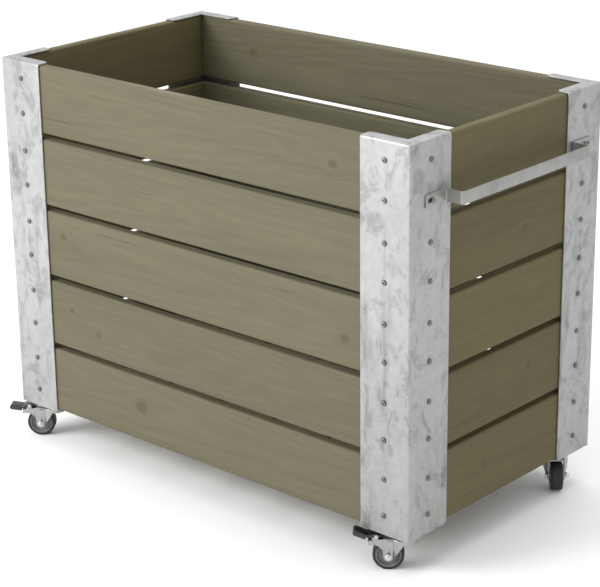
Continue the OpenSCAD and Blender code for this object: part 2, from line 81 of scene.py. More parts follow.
world = bpy.data.worlds.new("studio")
world.use_nodes = True
world.node_tree.nodes["Background"].inputs["Color"].default_value = (1, 1, 1, 1)
world.node_tree.nodes["Background"].inputs["Strength"].default_value = 1.0
bpy.context.scene.world = world
bpy.context.scene.view_settings.view_transform = "Standard"

bpy.ops.object.select_all(action="DESELECT")
bpy.ops.mesh.primitive_plane_add(size=60)
floor = bpy.context.object
floor.name = "studio_floor"
floor.data.materials.append(bpy.data.materials.new("studio_white"))
floor.data.materials[0].use_nodes = True
paint = floor.data.materials[0].node_tree.nodes["Principled BSDF"]
paint.inputs["Base Color"].default_value = (0.9, 0.9, 0.9, 1)
paint.inputs["Roughness"].default_value = 0.9

# ---------------------------------------------------------------- front and back boards
# Five planed softwood boards a side, stained olive grey, with rounded long edges.
# They run the full length inside the posts and are screwed to them through the steel.


class Value:
    """A socket of a material; sums and products of it add Math nodes."""

    def __init__(self, surface, socket):
        self.surface, self.socket = surface, socket

    def math(self, operation, *terms):
        return self.surface.add("ShaderNodeMath", {"operation": operation}, dict(enumerate(terms)))

    def __add__(self, other):
        return self.math("ADD", self, other)

    def __sub__(self, other):
        return self.math("SUBTRACT", self, other)

    def __rsub__(self, other):
        return self.math("SUBTRACT", other, self)

    def __mul__(self, other):
        return self.math("MULTIPLY", self, other)

    def __truediv__(self, other):
        return self.math("DIVIDE", self, other)

    __radd__, __rmul__ = __add__, __mul__

    def apply(self, operation, *terms):
        return self.math(operation, self, *terms)


class Surface:
    """One procedural material, patterned on the row's own coordinates in metres."""

    def __init__(self, name):
        self.material = bpy.data.materials.new(name)
        self.material.use_nodes = True
        self.tree = self.material.node_tree
        self.tree.nodes.clear()
        self.shader = self.tree.nodes.new("ShaderNodeBsdfPrincipled")
        end = self.tree.nodes.new("ShaderNodeOutputMaterial")
        self.tree.links.new(self.shader.outputs[0], end.inputs[0])
        self.place = self.add("ShaderNodeTexCoord", out="Object")
        self.x, self.y, self.z = [
            self.add("ShaderNodeSeparateXYZ", {}, {0: self.place}, out=i) for i in range(3)
        ]

    def add(self, kind, settings={}, sockets={}, out=0):
        """Adds a node, sets it up, fills or links its sockets and returns one output."""
        node = self.tree.nodes.new(kind)
        for key, value in settings.items():
            setattr(node, key, value)
        for key, value in sockets.items():
            if isinstance(value, Value):
                self.tree.links.new(value.socket, node.inputs[key])
            else:
                node.inputs[key].default_value = value
        return Value(self, node.outputs[out])

    def noise(self, stretch, detail=3.0, rough=0.55, seed=0.0, twist=0.0, at=None):
        spot = self.add(
            "ShaderNodeVectorMath", {"operation": "MULTIPLY"}, {0: at or self.place, 1: stretch}
        )
        return self.add(
            "ShaderNodeTexNoise",
            {"noise_dimensions": "4D"},
            {"Vector": spot, "W": seed, "Scale": 1, "Detail": detail, "Roughness": rough, "Distortion": twist},
        )

    def step(self, value, low, high):
        """0 below low, 1 above high and smooth between; high may be the lower one."""
        return self.add(
            "ShaderNodeMapRange",
            {"interpolation_type": "SMOOTHSTEP"},
            {"Value": value, "From Min": low, "From Max": high},
        )

    def mix(self, amount, one, other):
        return self.add("ShaderNodeMix", {"data_type": "RGBA"}, {0: amount, 6: one, 7: other}, out=2)

    def finish(self, bump=None, depth=0.0005, **channels):
        """Links or sets the shader's sockets; a Value is linked and a number is set."""
        if bump is not None:
            channels["Normal"] = self.add(
                "ShaderNodeBump", {}, {"Height": bump, "Distance": depth, "Strength": 1.0}
            )
        for key, value in channels.items():
            socket = self.shader.inputs[key.replace("_", " ")]
            if isinstance(value, Value):
                self.tree.links.new(value.socket, socket)
            else:
                socket.default_value = value
        return self.material


def tone(red, green, blue):
    """A colour given as 0 to 255, made linear."""
    parts = [c / 255 for c in (red, green, blue)]
    return [c / 12.92 if c < 0.04 else ((c + 0.055) / 1.055) ** 2.4 for c in parts] + [1]


BOARDS = {n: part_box(n) for n in NODES if "_board_" in n}
ROW_LOW = BOARDS["front_board_1"][0].z
ROW_STEP = BOARDS["front_board_2"][0].z - ROW_LOW
BOARD_H = BOARDS["front_board_1"][1].z - ROW_LOW


def wood(name, along, pale, deep, knots):
    """Flat-sawn stained softwood with its grain along X (0) or Y (1); knots are (length, row, height, radius)."""
    s = Surface(name)
    length, across = (s.x, s.y) if along == 0 else (s.y, s.x)
    row = ((s.z - (ROW_LOW - 0.0045)) / ROW_STEP).apply("FLOOR")
    side = s.step(across, -0.001, 0.001)
    length = length * (1 - 2 * side) if along == 0 else length * (2 * side - 1)
    seed = row * 3.71 + side * 9.37 + along * 5.0
    middle = row * ROW_STEP + (ROW_LOW + BOARD_H / 2)
    height, eyes, halo = s.z, 0.0, 0.0
    for at, line, up, radius in knots:
        k_z = ROW_LOW + (line - 1) * ROW_STEP + BOARD_H / 2 + up
        off_l = (length - at) / (radius * 1.25)
        off_z = (s.z - k_z) / radius
        gap = (off_l * off_l + off_z * off_z).apply("SQRT")
        pull = s.step(gap, 4.2, 0.6)
        height = height - (s.z - k_z) * pull * 0.72
        eyes = s.step(gap + s.noise((90, 90, 90), 2, 0.5, at) * 0.5, 1.35, 0.95) + eyes
        halo = s.step(gap, 2.1, 0.9) + halo
    spot = s.add("ShaderNodeCombineXYZ", {}, {0: length, 1: across, 2: height})
    broad = s.noise((1.7, 5, 17), 2, 0.5, seed, at=spot)
    drift = s.noise((0.31, 0.3, 0.3), 0, 0.5, seed * 1.9, at=spot)
    off = height - middle + (drift - 0.5) * 0.16
    depth = length * 0.035 + (0.075 + broad * 0.03)
    rings = (off * off + depth * depth).apply("SQRT") * 1150 + broad * 9
    ring = rings.apply("SINE") * 0.5 + 0.5
    ring = ring * ring
    fibre = s.noise((7, 260, 520), 3, 0.6, seed, at=spot)
    streak = s.noise((1.6, 30, 95), 3, 0.6, seed + 2, at=spot)
    cloud = s.noise((2.4, 5, 9), 3, 0.55, seed + 5, at=spot)
    board = s.noise((0.01, 0.01, 0.01), 0, 0.5, seed * 4.3)
    shade = (
        0.5
        + (streak - 0.5) * 0.42
        + (fibre - 0.5) * 0.4
        + (ring - 0.4) * 0.08
        + (cloud - 0.5) * 0.35
        + (board - 0.5) * 0.7
    )
    colour = s.mix(s.step(shade, 0.0, 1.0), deep, pale)
    worn = s.noise((5, 60, 160), 4, 0.7, seed + 7, at=spot)
    low_edge = s.step((s.z - middle) * -1, BOARD_H * 0.30, BOARD_H * 0.5)
    edge = s.step((s.z - middle).apply("ABSOLUTE"), BOARD_H * 0.455, BOARD_H * 0.49)
    scuff = s.step(worn + low_edge * 0.02 + edge * 0.07, 0.665, 0.76)
    colour = s.mix(scuff * 0.3, colour, tone(150, 147, 132))
    crack = s.step(s.noise((3.2, 20, 330), 2, 0.5, seed + 11, at=spot), 0.715, 0.76)
    colour = s.mix(crack * 0.55, colour, tone(62, 56, 40))
    bump = ring * 0.25 + fibre * 0.55 - crack * 1.2
    if knots:
        swirl = (s.noise((160, 160, 160), 2, 0.6, seed) - 0.5) * 0.5
        colour = s.mix((halo * 0.32 + swirl * 0.1).apply("MINIMUM", 0.5), colour, tone(92, 84, 62))
        colour = s.mix((eyes * 0.8).apply("MINIMUM", 0.85), colour, tone(82, 72, 52))
        bump = bump - eyes * 0.3
    return s.finish(
        bump, 0.0004, Base_Color=colour, Roughness=0.62 + fibre * 0.18 + scuff * 0.1, Specular_IOR_Level=0.3
    )


def start(kind, **settings):
    """Adds a primitive with nothing else selected and opens it in edit mode."""
    bpy.ops.object.select_all(action="DESELECT")
    getattr(bpy.ops.mesh, "primitive_" + kind + "_add")(**settings)
    bpy.ops.object.mode_set(mode="EDIT")


def pick(kind, test):
    """Selects the vertices, edges or faces whose middle and direction or normal pass the test."""
    bpy.ops.mesh.select_mode(type=kind)
    bpy.ops.mesh.select_all(action="DESELECT")
    work = bmesh.from_edit_mesh(bpy.context.object.data)
    if kind == "FACE":
        found = [(f, f.calc_center_median(), f.normal) for f in work.faces]
    elif kind == "EDGE":
        found = [(e, (e.verts[0].co + e.verts[1].co) / 2, e.verts[1].co - e.verts[0].co) for e in work.edges]
    else:
        found = [(v, v.co, v.normal) for v in work.verts]
    for item, middle, way in found:
        if test(middle, way):
            item.select_set(True)
    work.select_flush_mode()
    bmesh.update_edit_mesh(bpy.context.object.data)


def done(name, *modifiers, smooth=35):
    """Leaves edit mode with outward faces, applies the modifiers and smooths the shading."""
    bpy.ops.mesh.select_all(action="SELECT")
    bpy.ops.mesh.normals_make_consistent(inside=False)
    piece = bpy.context.object
    work = bmesh.from_edit_mesh(piece.data)
    if all(edge.is_manifold for edge in work.edges) and work.calc_volume(signed=True) < 0:
        bpy.ops.mesh.flip_normals()
    bpy.ops.object.mode_set(mode="OBJECT")
    piece.name = piece.data.name = name
    for kind, settings in modifiers:
        modifier = piece.modifiers.new(kind, kind)
        for key, value in settings.items():
            setattr(modifier, key, value)
        bpy.ops.object.modifier_apply(modifier=modifier.name)
    bpy.ops.object.shade_smooth_by_angle(angle=math.radians(smooth))
    return piece


def dress(piece, material, slot, body, *nodes):
    """Gives a finished piece its material and body and hides the CAD nodes it stands for; slot is not used."""
    piece.data.materials.clear()
    piece.data.materials.append(material)
    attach(piece, body)
    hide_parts(*nodes)


WARP = bpy.data.textures.new("warp", "CLOUDS")
WARP.noise_scale = 0.22
NICKS = bpy.data.textures.new("nicks", "CLOUDS")
NICKS.noise_scale = 0.018


def make_board(node, round_by=0.004, cuts=40):
    """A planed board in the CAD node's place: rounded long edges, eased ends, a little warp and wear."""
    low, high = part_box(node)
    size, middle = high - low, (high + low) / 2
    along = 0 if size.x > size.y else 1
    half = size[along] / 2
    start("cube", size=1)
    bpy.ops.transform.resize(value=size - Vector((0.0006, 0.0006, 0.0006)))
    bpy.ops.transform.translate(value=middle)
    pick("EDGE", lambda at, way: abs(way[along]) > half)
    bpy.ops.mesh.bevel(offset=round_by, segments=4)
    pick("FACE", lambda at, way: abs(at[along] - middle[along]) > half - 0.001)
    bpy.ops.mesh.bevel(offset=0.0007, segments=2)
    pick("EDGE", lambda at, way: abs(way[along]) > half)
    bpy.ops.mesh.subdivide(number_cuts=cuts)
    pick("EDGE", lambda at, way: abs(way.z) > size.z / 2)
    bpy.ops.mesh.subdivide(number_cuts=5)
    return done(
        node + "_wood",
        ("DISPLACE", {"texture": WARP, "texture_coords": "GLOBAL", "strength": 0.0006, "direction": "XYZ"[1 - along]}),
        ("DISPLACE", {"texture": NICKS, "texture_coords": "GLOBAL", "strength": 0.0004}),
        smooth=50,
    )


long_wood = wood(
    "long_board_wood",
    0,
    tone(105, 100, 79),
    tone(80, 76, 58),
    [
        (0.296, 5, 0.006, 0.0075),
        (-0.312, 3, 0.018, 0.006),
        (0.318, 3, -0.012, 0.007),
        (-0.300, 2, 0.014, 0.005),
        (-0.236, 2, -0.016, 0.006),
        (-0.135, 1, 0.004, 0.011),
    ],
)
for side in ("front", "back"):
    for i in range(1, 6):
        dress(make_board(f"{side}_board_{i}"), long_wood, "stained_wood", "cart", f"{side}_board_{i}")

# ---------------------------------------------------------------- end boards
# Five shorter boards of the same timber at each end, butted between the long boards.

end_wood = wood(
    "end_board_wood",
    1,
    tone(100, 93, 64),
    tone(77, 70, 45),
    [(0.045, 4, -0.006, 0.007), (0.062, 2, 0.010, 0.008), (-0.052, 1, 0.002, 0.006)],
)
for side in ("left", "right"):
    for i in range(1, 6):
        dress(
            make_board(f"{side}_board_{i}", cuts=24), end_wood, "stained_wood", "cart", f"{side}_board_{i}"
        )

# ---------------------------------------------------------------- corner posts
# Each post is one galvanised sheet folded to an angle, with tabs folded in over the board tops,
# a set-out lip down both free edges and a foot plate inside the bottom that carries the castor.


def zinc(name, base, rough=0.46, metal=0.55, mottle=1.0, posts=False):
    """Galvanised steel: cloudy zinc with faint spangle, dull smears, specks and fine scratches."""
    s = Surface(name)
    cloud = s.noise((7, 7, 5), 4, 0.6, 1.0)
    smear = s.noise((26, 26, 4.5), 3, 0.6, 4.0, 0.4)
    spangle = s.add("ShaderNodeTexVoronoi", {"feature": "SMOOTH_F1"}, {"Vector": s.place, "Scale": 95, "Smoothness": 0.6})
    speck = s.step(s.noise((210, 210, 210), 2, 0.6, 8.0), 0.70, 0.78)
    scratch = s.step(s.noise((14, 14, 620), 2, 0.4, 2.0, 0.6), 0.70, 0.745)
    rub = s.step(s.noise((240, 240, 9), 2, 0.5, 3.0, 0.3), 0.71, 0.76)
    blotch = s.step(s.noise((24, 24, 15), 5, 0.7, 14.0, 1.2), 0.50, 0.60)
    dull = s.step(smear + (cloud - 0.5) * 0.5, 0.52, 0.72)
    shade = 1 + (cloud - 0.5) * (0.2 * mottle) + (spangle - 0.5) * (0.06 * mottle)
    shade = shade - dull * (0.10 * mottle) - blotch * (0.085 * mottle)
    shade = shade - speck * 0.12 - scratch * 0.10 + rub * 0.07
    if posts:
        # a dark ring of painted shade round each screw head stands in for its contact shadow; the screws also leave a
        # faint run below them
        face = s.step((s.x).apply("ABSOLUTE"), HALF_L - 0.001, HALF_L - 0.0002)
        from_edge = (HALF_L - s.x.apply("ABSOLUTE")) * (1 - face) + (HALF_W - s.y.apply("ABSOLUTE")) * face
        line = from_edge - SCREW_IN
        up = (s.z - SCREW_LOW) / ROW_STEP
        up = (up - up.apply("FLOOR")) * ROW_STEP
        near = (up - SCREW_STEP).apply("ABSOLUTE").apply("MINIMUM", up).apply("MINIMUM", (up - ROW_STEP).apply("ABSOLUTE"))
        ring = (line * line + near * near).apply("SQRT")
        # painted shade: darkens a ring round each screw head in place of the shadow the head casts
        screw_contact_shade = s.step(ring, 0.0062, 0.0038)
        run = s.step(line.apply("ABSOLUTE") + s.noise((60, 60, 12), 2, 0.5, 6.0) * 0.006, 0.0075, 0.003)
        run = run * s.step(s.noise((9, 9, 7), 1, 0.5, 12.0), 0.52, 0.68)
        shade = shade - screw_contact_shade * 0.45 - run * 0.16
        foot = s.step(s.z, FOOT_Z + 0.05, FOOT_Z) * s.step(smear, 0.42, 0.62)
        shade = shade - foot * 0.1
    colour = s.mix(1.0, base, (1, 1, 1, 1))
    colour.socket.node.blend_type = "MULTIPLY"
    colour.socket.node.inputs[6].default_value = base
    s.tree.links.new(shade.socket, colour.socket.node.inputs[7])
    wave = s.noise((5, 5, 3.2), 2, 0.5, 5.0) * 3 + s.noise((40, 40, 40), 2, 0.5, 7.0) * 0.12 - scratch * 0.03
    return s.finish(
        wave, 0.0011, Base_Color=colour, Metallic=metal, Roughness=rough + (cloud - 0.5) * 0.16 + dull * 0.14, IOR=1.8
    )


STEEL = 0.002
LEG = 0.094
FOLD = 0.004
LIP = 0.010
TAB = 0.023
HALF_L = BOARDS["right_board_1"][1].x + STEEL
HALF_W = -BOARDS["front_board_1"][0].y + STEEL
FOOT_Z, TOP_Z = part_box("post_front_left")[0].z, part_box("post_front_left")[1].z
SCREW_IN = 0.048
SCREW_STEP = 0.061
SCREW_LOW = ROW_LOW + (BOARD_H - SCREW_STEP) / 2


def make_post():
    """The front left post: two legs, their tabs and lips, then the foot plate."""
    x, y, height = -HALF_L, -HALF_W, TOP_Z - FOOT_Z
    start("plane", size=1)
    bpy.ops.transform.rotate(value=math.pi / 2, orient_axis="X", center_override=(0, 0, 0))
    bpy.ops.transform.resize(value=(LEG, 1, height), center_override=(0, 0, 0))
    bpy.ops.transform.translate(value=(x + LEG / 2, y, FOOT_Z + height / 2))
    pick("EDGE", lambda at, way: abs(at.x - x) < 1e-5)
    bpy.ops.mesh.extrude_region_move(TRANSFORM_OT_translate={"value": (0, LEG, 0)})
    for spot, normal in (((x + LEG - LIP, y, 0), (1, 0, 0)), ((x, y + LEG - LIP, 0), (0, 1, 0))):
        bpy.ops.mesh.select_all(action="SELECT")
        bpy.ops.mesh.bisect(plane_co=spot, plane_no=normal)
    pick("VERT", lambda at, way: at.x > x + LEG - 1e-5)
    bpy.ops.transform.translate(value=(0, -0.0008, 0))
    pick("VERT", lambda at, way: at.y > y + LEG - 1e-5)
    bpy.ops.transform.translate(value=(-0.0008, 0, 0))
    pick("VERT", lambda at, way: at.z < FOOT_Z + 1e-5 and max(at.x - x, at.y - y) > LEG - 1e-5)
    bpy.ops.mesh.bevel(affect="VERTICES", offset=0.005, segments=1)
    pick("EDGE", lambda at, way: at.z > TOP_Z - 1e-5 and at.x > x + 1e-4)
    bpy.ops.mesh.extrude_region_move(TRANSFORM_OT_translate={"value": (0, TAB, 0)})
    pick("EDGE", lambda at, way: at.z > TOP_Z - 1e-5 and at.y > y + 1e-4 and at.x < x + 1e-4)
    bpy.ops.mesh.extrude_region_move(TRANSFORM_OT_translate={"value": (TAB, 0, 0)})
    pick("VERT", lambda at, way: at.z > TOP_Z - 1e-5 and abs(at.x - x) < 1e-5 and abs(at.y - y - TAB) < 1e-5)
    bpy.ops.transform.translate(value=(TAB + 0.0004, 0, 0))
    pick("VERT", lambda at, way: at.z > TOP_Z - 1e-5 and abs(at.y - y) < 1e-5 and abs(at.x - x - TAB) < 1e-5)
    bpy.ops.transform.translate(value=(0, TAB + 0.0004, 0))
    pick(
        "VERT",
        lambda at, way: at.z > TOP_Z - 1e-5
        and max(at.x - x, at.y - y) > LEG - 0.001
        and min(at.x - x, at.y - y) > TAB - 0.001,
    )
    bpy.ops.mesh.bevel(affect="VERTICES", offset=0.006, segments=5)
    pick(
        "EDGE",
        lambda at, way: (abs(way.z) > height * 0.9 and at.x < x + 1e-4 and at.y < y + 1e-4)
        or (at.z > TOP_Z - 1e-5 and (at.y < y + 1e-4 or at.x < x + 1e-4) and min(at.x - x, at.y - y) < 1e-4),
    )
    bpy.ops.mesh.bevel(offset=FOLD, segments=5)
    bpy.ops.mesh.select_all(action="SELECT")
    bpy.ops.mesh.normals_make_consistent(inside=False)
    sheet = done(
        "post_sheet",
        ("SOLIDIFY", {"thickness": STEEL, "offset": -1, "use_even_offset": True}),
        ("BEVEL", {"width": 0.0003, "segments": 2, "limit_method": "ANGLE", "angle_limit": math.radians(50)}),
    )
    start("cube", size=1)
    bpy.ops.transform.resize(value=(0.078, 0.078, STEEL), center_override=(0, 0, 0))
    bpy.ops.transform.translate(value=(x + 0.0405, y + 0.0405, FOOT_Z + STEEL / 2))
    pick("EDGE", lambda at, way: abs(way.z) > 0.001 and max(at.x - x, at.y - y) > 0.07)
    bpy.ops.mesh.bevel(offset=0.006, segments=4)
    done("post_foot")
    sheet.select_set(True)
    bpy.context.view_layer.objects.active = sheet
    bpy.ops.object.join()
    return sheet


def copy_of(piece, name, flip=(1, 1, 1)):
    """A copy with its own mesh, mirrored across the cart's middle planes where flip is -1."""
    bpy.ops.object.select_all(action="DESELECT")
    piece.select_set(True)
    bpy.context.view_layer.objects.active = piece
    bpy.ops.object.duplicate()
    bpy.ops.object.mode_set(mode="EDIT")
    bpy.ops.mesh.select_all(action="SELECT")
    bpy.ops.transform.resize(value=flip, center_override=(0, 0, 0))
    return done(name)


post_zinc = zinc("post_zinc", tone(162, 163, 162), mottle=2.9, posts=True)
first_post = make_post()
for name, flip in (
    ("front_left", (1, 1, 1)),
    ("front_right", (-1, 1, 1)),
    ("back_right", (-1, -1, 1)),
    ("back_left", (1, -1, 1)),
):
    dress(copy_of(first_post, "post_sheet_" + name, flip), post_zinc, "galvanised_steel", "cart", "post_" + name)
bpy.data.objects.remove(first_post)

# ---------------------------------------------------------------- wall screws
# Zinc plated pan-head screws with a cross recess, driven through the posts into every board end.


def cut_by(piece, cutters):
    """Cuts the cutters out of a piece one by one and removes them."""
    bpy.ops.object.select_all(action="DESELECT")
    piece.select_set(True)
    bpy.context.view_layer.objects.active = piece
    for cutter in cutters:
        cut = piece.modifiers.new("cut", "BOOLEAN")
        cut.operation = "DIFFERENCE"
        cut.solver = "EXACT"
        cut.object = cutter
        bpy.ops.object.modifier_apply(modifier=cut.name)
        bpy.data.objects.remove(cutter)


def make_screw(name, radius, height):
    """A pan head standing on z = 0 with a cross recess, modelled at the origin."""
    start("cylinder", vertices=32, radius=radius, depth=height)
    bpy.ops.transform.translate(value=(0, 0, height / 2))
    pick("FACE", lambda at, way: way.z > 0.9)
    bpy.ops.mesh.bevel(offset=height * 0.55, segments=4)
    head = done(name)
    cutters = []
    for turn in (0, 1):
        start("cube", size=1)
        bpy.ops.transform.resize(value=(radius * 1.1, radius * 0.27, height), center_override=(0, 0, 0))
        bpy.ops.transform.translate(value=(0, 0, height * 1.05))
        pick("VERT", lambda at, way: at.z < height)
        bpy.ops.transform.resize(value=(0.45, 0.7, 1), center_override=(0, 0, 0))
        if turn:
            bpy.ops.mesh.select_all(action="SELECT")
            bpy.ops.transform.rotate(value=math.pi / 2, orient_axis="Z", center_override=(0, 0, 0))
        cutters.append(done("recess"))
    cut_by(head, cutters)
    return head


def set_at(piece, place, tilt, turn, lean=0):
    """A copy of a piece made at the origin, turned about X, Y and Z in that order and moved, in its mesh."""
    bpy.ops.object.select_all(action="DESELECT")
    piece.select_set(True)
    bpy.context.view_layer.objects.active = piece
    bpy.ops.object.duplicate()
    twin = bpy.context.object
    twin.rotation_euler = (tilt, lean, turn)
    twin.location = place
    bpy.ops.object.transform_apply(location=True, rotation=True, scale=True)
    return twin


def join(pieces, name):
    """Joins finished pieces into one mesh."""
    bpy.ops.object.select_all(action="DESELECT")
    for piece in pieces:
        piece.select_set(True)
    bpy.context.view_layer.objects.active = pieces[0]
    bpy.ops.object.join()
    pieces[0].name = pieces[0].data.name = name
    return pieces[0]


HANDLE_LOW, HANDLE_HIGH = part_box("handle")
HANDLE_Z = (HANDLE_LOW.z + HANDLE_HIGH.z) / 2
STRIP = 0.003
screw_zinc = zinc("screw_zinc", tone(120, 120, 118), rough=0.22, metal=1.0, mottle=0.8)
screw = make_screw("pan_head", 0.004, 0.0026)
heads = []
for row in range(5):
    for up in (0, SCREW_STEP):
        z = SCREW_LOW + row * ROW_STEP + up
        for sx in (-1, 1):
            for sy in (-1, 1):
                spin = 0.9 * row + 2.3 * up * 50 + sx * 0.7 + sy * 0.4
                held = STRIP if sx > 0 and abs(z - HANDLE_Z) < 0.001 else 0
                turned = set_at(screw, (0, 0, 0), 0, spin)
                heads.append(
                    set_at(turned, (sx * (HALF_L - SCREW_IN), sy * HALF_W, z), math.pi / 2, 0 if sy < 0 else math.pi)
                )
                heads.append(
                    set_at(
                        turned, (sx * (HALF_L + held), sy * (HALF_W - SCREW_IN), z), math.pi / 2, sx * math.pi / 2
                    )
                )
                bpy.data.objects.remove(turned)
dress(join(heads, "post_screw_heads"), screw_zinc, "zinc_screw", "cart", "post_screws")
bpy.data.objects.remove(screw)

# ---------------------------------------------------------------- push handle
# One flat galvanised strip, bent outwards at both ends and held by a screw through a slot at each end.

REACH = HANDLE_HIGH.x
END_Y = HANDLE_HIGH.y
TURN_Y = HALF_W - 0.080
start("plane", size=1)
bpy.ops.transform.rotate(value=math.pi / 2, orient_axis="Y", center_override=(0, 0, 0))
bpy.ops.transform.resize(value=(1, END_Y - TURN_Y, HANDLE_HIGH.z - HANDLE_LOW.z), center_override=(0, 0, 0))
bpy.ops.transform.translate(value=(HALF_L + STRIP, -(END_Y + TURN_Y) / 2, HANDLE_Z))
pick("EDGE", lambda at, way: abs(at.y + TURN_Y) < 1e-5)
for step in (
    (REACH - HALF_L - STRIP, 0, 0),
    (0, 2 * TURN_Y, 0),
    (HALF_L + STRIP - REACH, 0, 0),
    (0, END_Y - TURN_Y, 0),
):
    bpy.ops.mesh.extrude_region_move(TRANSFORM_OT_translate={"value": step})
pick("VERT", lambda at, way: abs(at.y) > END_Y - 1e-5)
bpy.ops.mesh.bevel(affect="VERTICES", offset=0.002, segments=3)
pick("EDGE", lambda at, way: abs(way.z) > 0.015 and abs(abs(at.y) - TURN_Y) < 1e-5 and at.x < HALF_L + 0.01)
bpy.ops.mesh.bevel(offset=0.002, segments=4)
pick("EDGE", lambda at, way: abs(way.z) > 0.015 and abs(abs(at.y) - TURN_Y) < 1e-5 and at.x > REACH - 1e-5)
bpy.ops.mesh.bevel(offset=0.005, segments=6)
bpy.ops.mesh.select_all(action="SELECT")
bpy.ops.mesh.normals_make_consistent(inside=False)
bpy.ops.object.mode_set(mode="OBJECT")
handle = bpy.context.object
outward = sum(f.normal.x * f.area for f in handle.data.polygons)
solid = handle.modifiers.new("solid", "SOLIDIFY")
solid.thickness = STRIP
solid.offset = -1 if outward > 0 else 1
solid.use_even_offset = True
bpy.ops.object.modifier_apply(modifier="solid")
for side in (-1, 1):
    start("cylinder", vertices=32, radius=0.003, depth=0.02)
    bpy.ops.transform.rotate(value=math.pi / 2, orient_axis="Y", center_override=(0, 0, 0))
    bpy.ops.transform.translate(value=(HALF_L + STRIP / 2, side * (HALF_W - 0.0445), HANDLE_Z))
    for way_out in (-1, 1):
        pick("VERT", lambda at, way: (at.y - side * (HALF_W - 0.0445)) * way_out > -1e-6)
        bpy.ops.transform.translate(value=(0, way_out * 0.005, 0))
    cut_by(handle, [done("slot")])
bpy.ops.object.select_all(action="DESELECT")
handle.select_set(True)
bpy.context.view_layer.objects.active = handle
bpy.ops.object.mode_set(mode="EDIT")
handle = done(
    "push_handle",
    ("BEVEL", {"width": 0.0004, "segments": 2, "limit_method": "ANGLE", "angle_limit": math.radians(50)}),
)
handle_zinc = zinc("handle_zinc", tone(152, 153, 150), rough=0.4, metal=0.7)
dress(handle, handle_zinc, "handle_steel", "cart", "handle")

# ---------------------------------------------------------------- floor
# Two cleats screwed inside the long walls and seven slats across them, of the same stained timber.

floor_wood = wood("floor_wood", 1, tone(112, 105, 80), tone(80, 73, 50), [])
for side in ("front", "back"):
    dress(make_board("floor_cleat_" + side, 0.002), long_wood, "stained_wood", "cart", "floor_cleat_" + side)

SLAT_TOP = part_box("floor_slat_1")[1].z
CLEAT_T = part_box("floor_cleat_front")[1].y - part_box("floor_cleat_front")[0].y
CLEAT_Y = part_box("floor_cleat_back")[1].y - CLEAT_T / 2
start("cylinder", vertices=32, radius=0.00425, depth=0.006)
bpy.ops.transform.translate(value=(0, 0, -0.0001))
pick("VERT", lambda at, way: at.z < 0)
bpy.ops.transform.resize(value=(0.5, 0.5, 1), center_override=(0, 0, 0))
sink = done("sink")
flat_head = make_screw("flat_head", 0.0041, 0.0022)
floor_heads = []
for i in range(1, 8):
    low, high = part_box(f"floor_slat_{i}")
    slat = make_board(f"floor_slat_{i}", 0.002, 24)
    for q in (-1, 1):
        for sy in (-1, 1):
            spot = ((low.x + high.x) / 2 + q * (high.x - low.x) / 4, sy * CLEAT_Y, SLAT_TOP)
            cut_by(slat, [set_at(sink, spot, 0, 0)])
            floor_heads.append(set_at(flat_head, Vector(spot) - Vector((0, 0, 0.0025)), 0, i + q + 0.7 * sy))
    dress(slat, floor_wood, "stained_wood", "cart", f"floor_slat_{i}")
cleat_low, cleat_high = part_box("floor_cleat_front")
for k in range(5):
    for sy in (-1, 1):
        x = cleat_low.x + (cleat_high.x - cleat_low.x) * (k + 0.5) / 5
        z = cleat_low.z + (cleat_high.z - cleat_low.z) / 3
        spot = (x, sy * (CLEAT_Y - CLEAT_T / 2 + 0.0018), z)
        floor_heads.append(set_at(flat_head, spot, sy * math.pi / 2, 0))
dress(join(floor_heads, "floor_screw_heads"), screw_zinc, "zinc_screw", "cart", "floor_screws")
for tool in (sink, flat_head):
    bpy.data.objects.remove(tool)

# ---------------------------------------------------------------- swivel heads
# A pressed steel cup under each foot plate holds the balls; a bush and a washer keep the fork on it.


def corner(name):
    """A castor's swivel axis on the ground and the direction it trails in."""
    axis, wheel = JOINTS["swivel_" + name]["pos_m"], JOINTS["wheel_spin_" + name]["pos_m"]
    return Vector((axis[0], axis[1], 0)), math.atan2(wheel[1] - axis[1], wheel[0] - axis[0])


CORNERS = ("front_left", "front_right", "back_right", "back_left")
WHEEL = JOINTS["wheel_spin_front_left"]["pos_m"]
PIVOT = corner("front_left")[0]
TRAIL = math.dist(WHEEL[:2], PIVOT[:2])
AXLE_Z = WHEEL[2]
WHEEL_R = AXLE_Z
CROWN_R = 0.022
CROWN_Z = 0.055
FORK_T = 0.002
FORK_HALF = 0.014


def plain(name, colour, rough, grain=0.0, coat=0.0):
    """Moulded plastic or rubber with faint clouding, a fine grain and a little dust."""
    s = Surface(name)
    cloud = s.noise((60, 60, 60), 3, 0.6, 2.0)
    fine = s.noise((900, 900, 900), 2, 0.6, 3.0)
    shade = s.mix(s.step(cloud, 0.35, 0.75) * 0.3, colour, [min(1, c * 1.6 + 0.01) for c in colour[:3]] + [1])
    return s.finish(fine * grain, 0.0002, Base_Color=shade, Roughness=rough + (cloud - 0.5) * 0.15, Coat_Weight=coat)


castor_zinc = zinc("castor_zinc", tone(164, 165, 164), rough=0.3, metal=0.85, mottle=1.4)
bolt_steel = zinc("bolt_steel", tone(205, 205, 203), rough=0.25, metal=0.95, mottle=0.4)
start("cylinder", vertices=64, radius=0.020, depth=FOOT_Z - 0.0562)
bpy.ops.transform.translate(value=(0, 0, (FOOT_Z + 0.0562) / 2))
pick("FACE", lambda at, way: way.z < -0.9)
bpy.ops.mesh.inset(thickness=0.0025)
for rise, radius_by in ((0.0039, 1), (0, 0.4), (-0.0074, 1), (0, 13 / 7), (-0.002, 1)):
    bpy.ops.mesh.extrude_region_move(TRANSFORM_OT_translate={"value": (0, 0, rise)})
    bpy.ops.transform.resize(value=(radius_by, radius_by, 1), center_override=(0, 0, 0))
pick("EDGE", lambda at, way: 0.0165 < math.hypot(at.x, at.y) and abs(way.z) < 1e-5)
bpy.ops.mesh.bevel(offset=0.0008, segments=3)
head = done("swivel_head")
